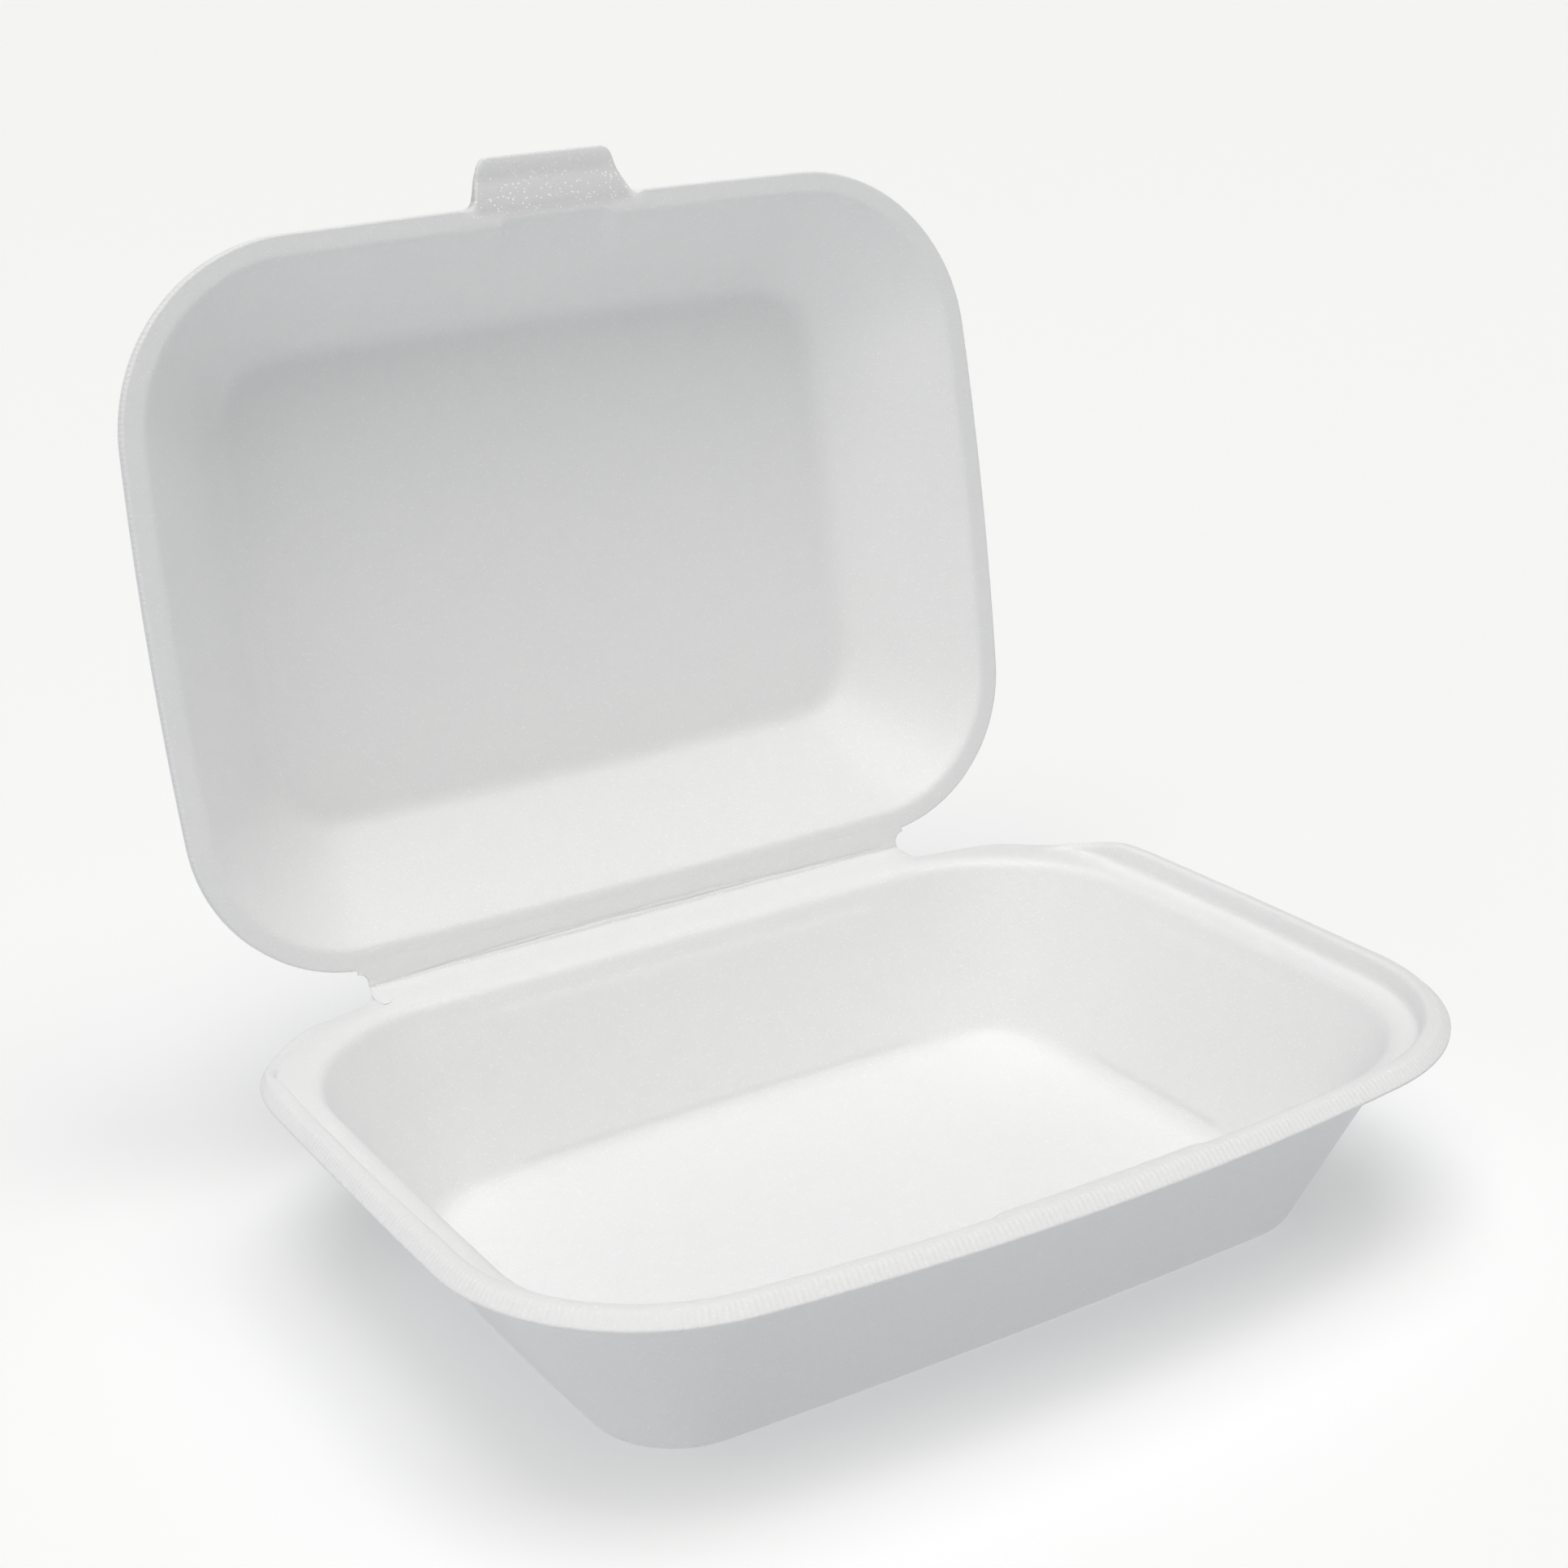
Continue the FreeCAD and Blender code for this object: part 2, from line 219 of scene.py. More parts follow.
def spot_at_x(outline, back, x):
    """Arc and share of the arc where the front or back of the outline passes x."""
    for arc in (2, 1):
        centre, radius, first, last = arcs(outline, back)[arc]
        direction = math.acos(max(-1.0, min(1.0, (x - centre[0]) / radius)))
        if arc == 1 or direction >= first:
            return arc, (direction - first) / (last - first)


def make_columns(outline, hinge_xs, front_xs, counts):
    """Right half of the columns, from the back middle round to the front middle."""
    spots = [(True,) + spot_at_x(outline, True, x) for x in hinge_xs]
    last_share = spots[-1][2]
    corner, side, front_corner = counts
    spots += [(True, 1, share) for share in np.linspace(last_share, 0, corner)[1:]]
    spots += [(True, 0, share) for share in np.linspace(1, 0, side)[1:]]
    spots += [(False, 0, share) for share in np.linspace(0, 1, side)[1:]]
    spots += [(False, 1, share) for share in np.linspace(0, 1, front_corner)[1:]]
    last_x = arcs(outline, False)[1][0][0]
    spots += [(False,) + spot_at_x(outline, False, x) for x in reversed(front_xs) if x < last_x - 0.3]
    back, arc, share = zip(*spots)
    return Columns(np.array(back), np.array(arc), np.array(share, float))


def mirror(right, sign=1):
    """Values of all columns from those of the right half."""
    return np.concatenate([right, sign * right[-2:0:-1]])


def trace(outline, columns):
    """X and Y of the outline at every column, clockwise from the back middle."""
    x = np.zeros(len(columns.arc))
    y = np.zeros(len(columns.arc))
    for back in (True, False):
        for arc, (centre, radius, first, last) in enumerate(arcs(outline, back)):
            mask = (columns.back == back) & (columns.arc == arc)
            direction = first + columns.share[mask] * (last - first)
            x[mask] = centre[0] + radius * np.cos(direction)
            y[mask] = (1 if back else -1) * (centre[1] + radius * np.sin(direction))
    return mirror(x, -1), mirror(y + outline.centre_y)


def smooth(value, start=0.0, end=1.0):
    """Smooth step from 0 at start to 1 at end."""
    share = np.clip((value - start) / (end - start), 0, 1)
    return share * share * (3 - 2 * share)


def ring_at(outline, columns, z):
    """Ring of points of the outline at a height, which may differ from column to column."""
    x, y = trace(outline, columns)
    return np.stack([x, y, np.broadcast_to(z, x.shape)], axis=1)


def fillet_rings(outline, columns, radius, angle, z, direction, steps=8):
    """Rings that turn from a flat face into a wall."""
    rings = []
    for turn in np.linspace(0, angle, steps + 1):
        grown = inset(outline, -radius * math.sin(turn))
        rings.append(ring_at(grown, columns, z + direction * radius * (1 - math.cos(turn))))
    return rings


def flat_rings(edge, count):
    """Rings of a flat face from near its middle out towards its edge ring."""
    middle = (edge.max(axis=0) + edge.min(axis=0)) / 2
    return [middle + (edge - middle) * share for share in np.linspace(0, 1, count + 2)[1:-1]]


def between(first, last, count):
    """Rings in even steps between two rings, without the two."""
    return [first + (last - first) * share for share in np.linspace(0, 1, count + 2)[1:-1]]


def fans(rows, index):
    """A point in the middle of the first ring and of the last, and the faces that close the mesh on them."""
    onward = np.roll(index, -1, axis=1)
    first = index[-1, -1] + 1
    last = first + 1
    faces = [(first, here, there) for here, there in zip(index[0], onward[0])]
    faces += [(last, there, here) for here, there in zip(index[-1], onward[-1])]
    return [rows[0].mean(axis=0), rows[-1].mean(axis=0)], faces


def strips(index):
    """Faces that close a flat strip's ends, each from its upper face straight to its lower one."""
    faces = []
    for ring, step in ((index[0], 1), (index[-1], -1)):
        far = ring[::-1]
        for j in range(len(ring) // 2 - 1):
            faces.append((ring[j], ring[j + 1], far[j + 1], far[j])[::step])
    return faces


def shell_mesh(name, rings, flat_ends=False):
    """Closed mesh through the rings, with a fan or a narrow strip at each end. Returns the object."""
    rows = np.array(rings)
    points = rows.reshape(-1, 3)
    index = np.arange(len(points)).reshape(rows.shape[:2])
    onward = np.roll(index, -1, axis=1)
    quads = np.stack([index[:-1], index[1:], onward[1:], onward[:-1]], axis=-1).reshape(-1, 4)
    if flat_ends:
        ends = strips(index)
    else:
        middles, ends = fans(rows, index)
        points = np.vstack([points, middles])
    mesh = bpy.data.meshes.new(name)
    mesh.from_pydata((points * MM).tolist(), [], quads.tolist() + ends)
    mesh.validate()
    mesh.polygons.foreach_set("use_smooth", [True] * len(mesh.polygons))
    mesh.update()
    obj = bpy.data.objects.new(name, mesh)
    bpy.context.scene.collection.objects.link(obj)
    return obj


def store(obj, name, rows):
    """Keep a number per point for the material, from the numbers of every ring and column."""
    values = rows.reshape(-1)
    if len(values) < len(obj.data.vertices):
        values = np.append(values, [rows[0].mean(), rows[-1].mean()])
    layer = obj.data.attributes.new(name, "FLOAT", "POINT")
    layer.data.foreach_set("value", values.astype(np.float32))


def store_trim(obj, outline, columns, ring_count, trimmed):
    """Mark the rings of the trimmed edge, and how far round the outline each column is, in ribs."""
    x, y = trace(outline, columns)
    steps = np.hypot(np.roll(x, -1) - x, np.roll(y, -1) - y)
    ribs = np.concatenate([[0], np.cumsum(steps)])
    ribs *= round(ribs[-1] / RIB_PITCH) / ribs[-1]
    rows = np.zeros((ring_count, len(x)))
    rows[slice(*trimmed)] = 1.0
    store(obj, "trim", rows)
    store(obj, "rib", np.tile(ribs[:-1], (ring_count, 1)))


def tray_columns():
    """Columns of the base: evenly along the hinge, then round the corners and along the front."""
    hinge_xs = np.linspace(0, HINGE_HALF_LENGTH, HINGE_COLUMNS)
    front_xs = np.arange(0, FRONT_REACH, COLUMN_STEP)
    return make_columns(RIM, hinge_xs, front_xs, (48, 24, 46))


def droop(x):
    """How far the back edge of the base hangs beside the hinge, for each x."""
    beside = smooth(np.abs(x), *DROOP_START) * (1 - smooth(np.abs(x), *DROOP_END))
    return NOTCH_DROOP * beside


def inward_normals(columns):
    """Unit vectors towards the inside of the rim at each column."""
    x, y = trace(RIM, columns)
    along = np.stack([np.roll(x, -1) - np.roll(x, 1), np.roll(y, -1) - np.roll(y, 1)], axis=1)
    along /= np.linalg.norm(along, axis=1)[:, None]
    return np.stack([along[:, 1], -along[:, 0]], axis=1)


def emboss(rings, columns):
    """Raise the faint panels of the inner walls towards the inside of the base."""
    inward = inward_normals(columns)
    facing_y = smooth(np.abs(inward[:, 1]), 0.8, 0.95)
    facing_x = smooth(np.abs(inward[:, 0]), 0.8, 0.95)
    raised = []
    for ring in rings:
        height = smooth(EMBOSS_TOP_Z - ring[:, 2], -0.4, 0.4)
        long_panel = smooth(EMBOSS_HALF_X - np.abs(ring[:, 0]), -0.6, 0.6) * facing_y
        side_panel = smooth(EMBOSS_HALF_Y - np.abs(ring[:, 1] - EMBOSS_CENTRE_Y), -0.6, 0.6) * facing_x
        amount = EMBOSS * height * np.maximum(long_panel, side_panel)
        moved = ring.copy()
        moved[:, :2] += inward * amount[:, None]
        raised.append(moved)
    return raised


def lid_room(columns):
    """How far in from the base's edge the edge of the closed lid lies, for each column."""
    lid_x, lid_y = trace(LID_RIM, lid_columns())
    lid_y = lid_y - LID_CENTRE_Y
    lid_angle = np.arctan2(lid_y, lid_x)
    room = np.zeros(len(trace(RIM, columns)[0]))
    for distance in np.arange(0, 9, 0.1):
        x, y = trace(inset(RIM, distance), columns)
        y = y - LID_CENTRE_Y
        reach = np.interp(np.arctan2(y, x), lid_angle, np.hypot(lid_x, lid_y), period=2 * math.pi)
        room[np.hypot(x, y) > reach] = distance
    return room


def tray_rings(columns):
    """Rings of the base from under the floor, up outside, over the rim and down inside."""
    rim_x, rim_y = trace(RIM, columns)
    bead = 1 - smooth(rim_y, *BEAD_FADE_Y)
    hanging = droop(rim_x) * (rim_y > 40)
    top = LEDGE_Z + LEDGE_DROP * bead
    lip = LEDGE_UNDER_Z + (LIP_Z - LEDGE_UNDER_Z) * bead

    inner_x, inner_y = trace(inset(RIM, 1.0), columns)
    outward = np.stack([rim_x - inner_x, rim_y - inner_y], axis=1)
    shift = np.clip(STEP_INSET - lid_room(columns), 0, STEP_SHIFT) * smooth(bead, 0, 0.3)
    seat = (1 - smooth(np.abs(rim_x), SEAT_HALF - 1, SEAT_HALF + 1)) * (rim_y < 0)

    def rim_ring(distance, z):
        ring = ring_at(inset(RIM, distance), columns, z - hanging * (1 - smooth(distance, 0, 8)))
        nearer = min(max(distance - 0.5, 0) / (STEP_INSET - 0.8), 1) * (1 - smooth(distance, 5.5, 9.0))
        ring[:, :2] += outward * (shift * nearer)[:, None]
        ring[:, 1] += SEAT_WIDENING * seat * smooth(distance, 1.5, 3.5) * (1 - smooth(distance, 6.0, 9.0))
        return ring

    def under(distance, rise):
        return rim_ring(distance, LEDGE_UNDER_Z + (lip - LEDGE_UNDER_Z) * rise)

    def fading(distance, rise):
        gentle = 1 - smooth(distance, 1.0, 6.4)
        sharp = bead ** 2
        return LEDGE_Z + (top - LEDGE_Z) * (sharp * rise + (1 - sharp) * gentle)

    def over(distance, drop):
        return rim_ring(distance, fading(distance, 1.0) - drop * (0.25 + 0.75 * bead))

    def step(distance, rise):
        return rim_ring(distance, fading(distance, rise))

    foot = fillet_rings(inset(FOOT, -SOLE_GROWTH), columns, SOLE_FILLET, WALL_ANGLE, 0.0, 1)
    wall_top = rim_ring(WALL_TOP_INSET, LEDGE_Z - BASE_SHEET - 0.5)
    outside = flat_rings(foot[0], 5) + foot + between(foot[-1], wall_top, 30) + [wall_top]
    outside += [rim_ring(8.6, LEDGE_Z - BASE_SHEET - 0.1), rim_ring(8.0, LEDGE_Z - BASE_SHEET + 0.1)]
    outside += [under(5.6, 0.0), under(5.1, 0.05), under(4.5, 0.24), under(3.9, 0.5), under(3.3, 0.8)]
    outside += [under(2.9, 0.95), under(2.4, 1.0), under(1.3, 1.0), under(0.5, 1.0)]
    edge = [rim_ring(distance, lip + height) for distance, height in ((0.2, 0.06), (0.03, 0.22), (0.0, 0.5))]
    edge += [over(0.12, 1.92), over(0.45, 1.6), over(0.9, 1.18), over(1.35, 0.76)]
    flange = [over(1.7, 0.47), over(2.05, 0.28), over(2.5, 0.14), over(3.0, 0.05), over(3.5, 0.0)]
    flange += [step(3.9, 0.975), step(4.2, 0.92), step(4.45, 0.78), step(4.65, 0.5)]
    flange += [step(4.85, 0.24), step(5.1, 0.08), step(5.5, 0.01), step(6.2, 0.0)]
    shoulder = [(7.4, 0.02), (8.4, 0.1), (9.2, 0.3), (9.8, 0.62), (10.3, 1.1), (10.7, 1.75), (11.0, 2.4)]
    ledge = [rim_ring(distance, LEDGE_Z - drop) for distance, drop in shoulder]
    sheet_out = BASE_SHEET * math.sin(WALL_ANGLE) / 2
    floor_fillet = fillet_rings(inset(FOOT, sheet_out), columns, FOOT_FILLET, WALL_ANGLE, BASE_FLOOR, 1)
    floor_fillet.reverse()
    inside = emboss(between(ledge[-1], floor_fillet[0], 44), columns) + floor_fillet
    floor = flat_rings(floor_fillet[-1], 8)
    floor.reverse()
    trimmed = (len(outside) + 1, len(outside) + len(edge) + 2)
    return outside + edge + flange + ledge + inside + floor, trimmed


def rounded_path(corners, radii):
    """Points along a path of straight runs whose inner corners are rounded."""
    points = [np.array(corners[0], float)]
    for before, corner, after, radius in zip(corners, corners[1:], corners[2:], radii):
        corner = np.array(corner, float)
        arrive = np.array(before, float) - corner
        leave = np.array(after, float) - corner
        arrive /= np.linalg.norm(arrive)
        leave /= np.linalg.norm(leave)
        half = math.acos(np.clip(arrive @ leave, -1, 1)) / 2
        reach = radius / math.tan(half)
        for share in np.linspace(0, 1, 12):
            along = (1 - share) ** 2 * arrive * reach + share ** 2 * leave * reach
            points.append(corner + along)
    points.append(np.array(corners[-1], float))
    return np.array(points)


def tab_edge(xs, side):
    """Edge of the lid at one side of the tab, as (x, reach beyond the lid's edge), for each column x."""
    near, far = TAB_SPAN
    corners = [(0, TAB_LENGTH), (TAB_TIPS[side], TAB_LENGTH), (TAB_ROOTS[side], 0), (far + 1, 0)]
    path = rounded_path(corners, (TAB_CORNER, TAB_ROOT_FILLETS[side]))
    lengths = np.concatenate([[0], np.cumsum(np.linalg.norm(np.diff(path, axis=0), axis=1))])
    end = lengths[-1] - 1
    wanted = np.where(xs < near, xs, near + (xs - near) / (far - near) * (end - near))
    x = np.interp(wanted, lengths, path[:, 0])
    reach = np.interp(wanted, lengths, path[:, 1])
    return np.where(xs < far, x, xs), np.where(xs < far, reach, 0)


def lid_columns():
    """Columns of the lid, close together where the sides of the tab leave its edge."""
    hinge_xs = np.linspace(0, HINGE_HALF_LENGTH, HINGE_COLUMNS)
    near, far = TAB_SPAN
    middle = np.linspace(0, near, 12)[:-1]
    side = np.linspace(near, far, 36)
    rest = np.arange(far + 1.2, FRONT_REACH, COLUMN_STEP)
    return make_columns(LID_RIM, hinge_xs, np.concatenate([middle, side, rest]), (44, 26, 44))


def tab_height(reach):
    """Rise of the tab's face above the flange face, by how far it is beyond the lid's edge."""
    return TAB_RISE * smooth(reach, -2.3, 5.6)


def lid_rings(columns):
    """Rings of the closed lid from inside the panel, over the flange with its tab, to the outside."""
    count = len(columns.arc)
    panel = fillet_rings(PANEL, columns, PANEL_FILLET, LID_WALL_ANGLE, HINGE_Z + LID_CAVITY, -1)
    crest = [(6.4, 2.4), (5.7, 1.65), (5.1, 1.0), (4.6, 0.5), (4.1, 0.16), (LID_CREST_INSET, 0.02)]
    edge_x, edge_y = trace(LID_RIM, columns)
    front = ~columns.back & (columns.arc == 2)
    bulge = smooth(edge_x, *POCKET_LEFT) * (1 - smooth(edge_x, *POCKET_RIGHT)) * mirror(front.astype(float))
    pocket = np.outer(bulge, (0, -POCKET, 0))
    crest_rings = []
    for distance, rise in crest:
        crest_rings.append(ring_at(inset(LID_RIM, distance), columns, HINGE_Z + rise) + pocket)
    wall = between(panel[-1], crest_rings[0] - pocket, 34)
    down = np.linspace(0, 1, len(wall) + 2)[1:-1]
    wall = [ring + pocket * smooth(share, 0.55, 1.0) for ring, share in zip(wall, down)]
    inside = flat_rings(panel[0], 8) + panel + wall + crest_rings

    root = ring_at(inset(LID_RIM, LID_CREST_INSET), columns, 0.0) + pocket
    right_x, right_reach = tab_edge(edge_x[:count], 0)
    left_x, left_reach = tab_edge(edge_x[:count], 1)
    right_x = np.where(front, right_x, edge_x[:count])
    left_x = np.where(front, left_x, edge_x[:count])
    target_x = np.concatenate([right_x, -left_x[-2:0:-1]])
    reach = np.concatenate([np.where(front, right_reach, 0), np.where(front, left_reach, 0)[-2:0:-1]])
    target = np.stack([target_x, edge_y - reach, np.zeros(len(edge_x))], axis=1)
    on_tab = smooth(np.abs(target_x), TAB_ROOTS[1] + 3.5, TAB_ROOTS[1] + 0.5) * mirror(front.astype(float))

    def flange_ring(share, lift, pull=0.0):
        flat = root + (target - root) * share
        beyond = LID_FRONT_Y - flat[:, 1]
        flat[:, 2] = HINGE_Z + tab_height(beyond) * on_tab + lift
        direction = target - root
        direction /= np.linalg.norm(direction, axis=1)[:, None]
        return flat - direction * pull

    thick = FLANGE_SHEET + (TAB_THICKNESS - FLANGE_SHEET) * smooth(reach, 0, 4)
    outer = [flange_ring(share, 0.0) for share in np.linspace(0.1, 0.86, 12)]
    outer += [flange_ring(1.0, 0.0, 0.45), flange_ring(1.0, 0.12, 0.15), flange_ring(1.0, 0.4)]
    outer += [flange_ring(1.0, thick * share) for share in (0.35, 0.5, 0.65)]
    outer += [flange_ring(1.0, thick - 0.4), flange_ring(1.0, thick - 0.12, 0.15)]
    outer += [flange_ring(1.0, thick, 0.45)]
    outer += [flange_ring(share, thick) for share in np.linspace(0.86, 0.3, 9)]
    outer_radius = PANEL_FILLET + LID_SHEET
    top = HINGE_Z + LID_CAVITY + LID_SHEET
    outside = fillet_rings(PANEL, columns, outer_radius, LID_WALL_ANGLE, top, -1)
    outside.reverse()
    back_rings = between(outer[-1], outside[0], 30) + outside
    cap = flat_rings(outside[-1], 6)
    cap.reverse()
    trimmed = (len(inside) + 13, len(inside) + 19)
    return inside + outer + back_rings + cap, trimmed


def open_lid(points):
    """Points of the closed lid, turned about the crease to where the lid stands open."""
    angle = math.radians(-LID_OPEN_ANGLE)
    cos, sin = math.cos(angle), math.sin(angle)
    y = points[..., 1] - HINGE_Y
    z = points[..., 2] - HINGE_Z
    return np.stack([points[..., 0], HINGE_Y + cos * y - sin * z, HINGE_Z + sin * y + cos * z], axis=-1)


def make_tray():
    """The base as one closed foam shell."""
    columns = tray_columns()
    rings, trimmed = tray_rings(columns)
    tray = shell_mesh("tray_foam", rings)
    store_trim(tray, RIM, columns, len(rings), trimmed)
    return tray


def make_lid():
    """The lid and its tab as one closed foam shell."""
    columns = lid_columns()
    rings, trimmed = lid_rings(columns)
    closed = np.array(rings)
    lid = shell_mesh("lid_foam", list(open_lid(closed)))
    store_trim(lid, LID_RIM, columns, len(rings), trimmed)
    reach = LID_FRONT_Y - closed[:, :, 1]
    across = 1 - smooth(np.abs(closed[:, :, 0]), TAB_ROOTS[1] - 1, TAB_ROOTS[1] + 2.5)
    # Painted shade, strongest at the tab's root and fading towards its tip.
    painted_shade = smooth(reach, -2.6, -0.4) * (1 - 0.85 * smooth(reach, 1.5, 7.8)) * across
    store(lid, "painted_shade", painted_shade)
    return lid


def dense(points, count):
    """Evenly spaced points along a line of points."""
    points = np.array(points, float)
    lengths = np.concatenate([[0], np.cumsum(np.linalg.norm(np.diff(points, axis=0), axis=1))])
    wanted = np.linspace(0, lengths[-1], count)
    return np.stack([np.interp(wanted, lengths, points[:, axis]) for axis in (0, 1)], axis=1)


def hinge_loop():
    """Section of the hinge strip as (y, z) round it, its middle line, and the count of its upper points."""
    edge = RIM_DEPTH / 2
    turn = HINGE_Y - 0.5
    thin = CREASE_THICKNESS

    def opened(points):
        return [(y, z) for _, y, z in open_lid(np.array([(0.0, y, z) for y, z in points]))]

    upper = [
        (edge - 6.2, LEDGE_Z - 0.06),
        (edge - 3.0, LEDGE_Z + OVERLAP * 0.6),
        (edge - 0.8, LEDGE_Z + OVERLAP),
        (turn, HINGE_Z - 0.22),
    ]
    upper += opened([
        (turn, HINGE_Z + 0.06),
        (LID_BACK_Y + 0.5, HINGE_Z - OVERLAP),
        (LID_BACK_Y - 1.2, HINGE_Z - OVERLAP),
        (LID_BACK_Y - 3.4, HINGE_Z + 0.06),
    ])
    lower = [
        (edge - 2.0, LEDGE_Z - 0.6),
        (edge - 0.6, LEDGE_Z - 0.9),
        (edge + 0.1, HINGE_Z - thin - 0.3),
        (turn, HINGE_Z - thin),
        (HINGE_Y + 0.5, HINGE_Z - 0.6),
    ]
    lower += opened([
        (turn, HINGE_Z + thin),
        (LID_BACK_Y + 0.2, HINGE_Z + thin),
        (LID_BACK_Y - 2.0, HINGE_Z + 0.7),
    ])
    upper = dense(upper, STRIP_POINTS)
    lower = dense(lower, STRIP_POINTS)
    middle = (upper + lower) / 2
    return np.vstack([upper, lower[::-1]]), np.vstack([middle, middle[::-1]]), len(upper)


def wrinkle(x, past_crease):
    """Height of the fine folds beside the crease, which run together at the ends of the hinge."""
    share = x / HINGE_HALF_LENGTH
    height = 0.0
    for bow, wobble, amount in ((0.1, 0.07, 0.7), (0.8, 0.12, 1.0), (1.5, 0.16, 0.8)):
        centre = bow * (1 - share ** 2) + wobble * np.sin(9 * share + 4 * bow)
        centre = centre + 0.05 * np.sin(31 * share) - 0.05
        height = height - amount * np.exp(-((past_crease - centre) / 0.2) ** 2)
    return WRINKLE * height


def make_hinge():
    """The living hinge: a thin strip bent round the crease between the base and the lid."""
    loop, middle, upper_count = hinge_loop()
    past_crease = loop[:, 1] - HINGE_Z + 0.35 * (loop[:, 0] - HINGE_Y)
    to_base = smooth(-past_crease, 0.2, 1.6) * (1 - smooth(RIM_DEPTH / 2 - loop[:, 0], 0, 8))
    base_fillet, lid_fillet = NOTCH_FILLETS
    flare = np.zeros(len(loop))
    for fillet, beyond in ((base_fillet, -past_crease - 1.3), (lid_fillet, past_crease - HINGE_TO_LID)):
        into = np.clip(beyond + fillet, 0, fillet)
        flare = np.maximum(flare, fillet - np.sqrt(fillet ** 2 - into ** 2))
    fold = np.zeros(len(loop))
    fold[:upper_count] = smooth(np.abs(past_crease[:upper_count] - 0.6), 3.4, 2.2)
    rings = []
    for share in np.linspace(-1, 1, STRIP_RINGS):
        x = share * (HINGE_HALF_LENGTH + flare)
        crumple = wrinkle(x, past_crease) * fold
        on_lid = smooth(past_crease, -0.3, 0.5)
        z = loop[:, 1] + crumple * (1 - on_lid) - droop(x) * to_base
        rings.append(np.stack([x, loop[:, 0] - crumple * on_lid, z], axis=1))
    to_middle = middle - loop
    for side, at in ((-1, 0), (1, -1)):
        edge = rings[at]
        for out, share in ((0.14, 0.12), (0.26, 0.36), (0.34, 0.68)):
            rounded = edge.copy()
            rounded[:, 0] += side * out
            rounded[:, 1:] += to_middle * share
            rings = [rounded] + rings if side < 0 else rings + [rounded]
    hinge = shell_mesh("hinge_fold", rings, flat_ends=True)
    # Light painted shade along the hinge crease.
    store(hinge, "painted_shade", np.tile(0.3 * smooth(np.abs(past_crease), 0.5, 0.1), (len(rings), 1)))
    return hinge


def math_step(tree, operation, first, second=0.0):
    """One sum in a material, of sockets or plain numbers. Returns its output."""
    node = tree.nodes.new("ShaderNodeMath")
    node.operation = operation
    for socket, value in zip(node.inputs, (first, second)):
        if isinstance(value, (int, float)):
            socket.default_value = value
        else:
            tree.links.new(value, socket)
    return node.outputs["Value"]


def mix_colours(tree, factor, first, second):
    """Blend of two colours or colour sockets by a factor socket. Returns its output."""
    node = tree.nodes.new("ShaderNodeMix")
    node.data_type = "RGBA"
    tree.links.new(factor, node.inputs["Factor"])
    for name, value in (("A", first), ("B", second)):
        if isinstance(value, tuple):
            node.inputs[name].default_value = value + (1.0,)
        else:
            tree.links.new(value, node.inputs[name])
    return node.outputs["Result"]


def texture(tree, kind, scale, **settings):
    """Noise or cell texture in the place of the object itself, with its cells per metre."""
    place = tree.nodes.new("ShaderNodeTexCoord")
    node = tree.nodes.new(kind)
    node.inputs["Scale"].default_value = scale
    for name, value in settings.items():
        node.inputs[name].default_value = value
    tree.links.new(place.outputs["Object"], node.inputs["Vector"])
    return node


def mark(tree, name):
    """Number stored on the mesh's points."""
    node = tree.nodes.new("ShaderNodeAttribute")
    node.attribute_name = name
    return node.outputs["Fac"]


def bump(tree, height, distance, before=None):
    """Normal that follows a height, laid over an earlier one."""
    node = tree.nodes.new("ShaderNodeBump")
    node.inputs["Distance"].default_value = distance
    tree.links.new(height, node.inputs["Height"])
    if before is not None:
        tree.links.new(before, node.inputs["Normal"])
    return node.outputs["Normal"]


def painted_glint_cells(tree):
    """Mask of the few cells painted white as glints: painted highlights."""
    cells = texture(tree, "ShaderNodeTexVoronoi", PAINTED_GLINT_SCALE)
    parts = tree.nodes.new("ShaderNodeSeparateColor")
    tree.links.new(cells.outputs["Color"], parts.inputs["Color"])
    chosen = math_step(tree, "GREATER_THAN", parts.outputs["Red"], PAINTED_GLINT_CHOICE)
    near = math_step(tree, "LESS_THAN", cells.outputs["Distance"], PAINTED_GLINT_SIZE)
    return math_step(tree, "MULTIPLY", chosen, near)


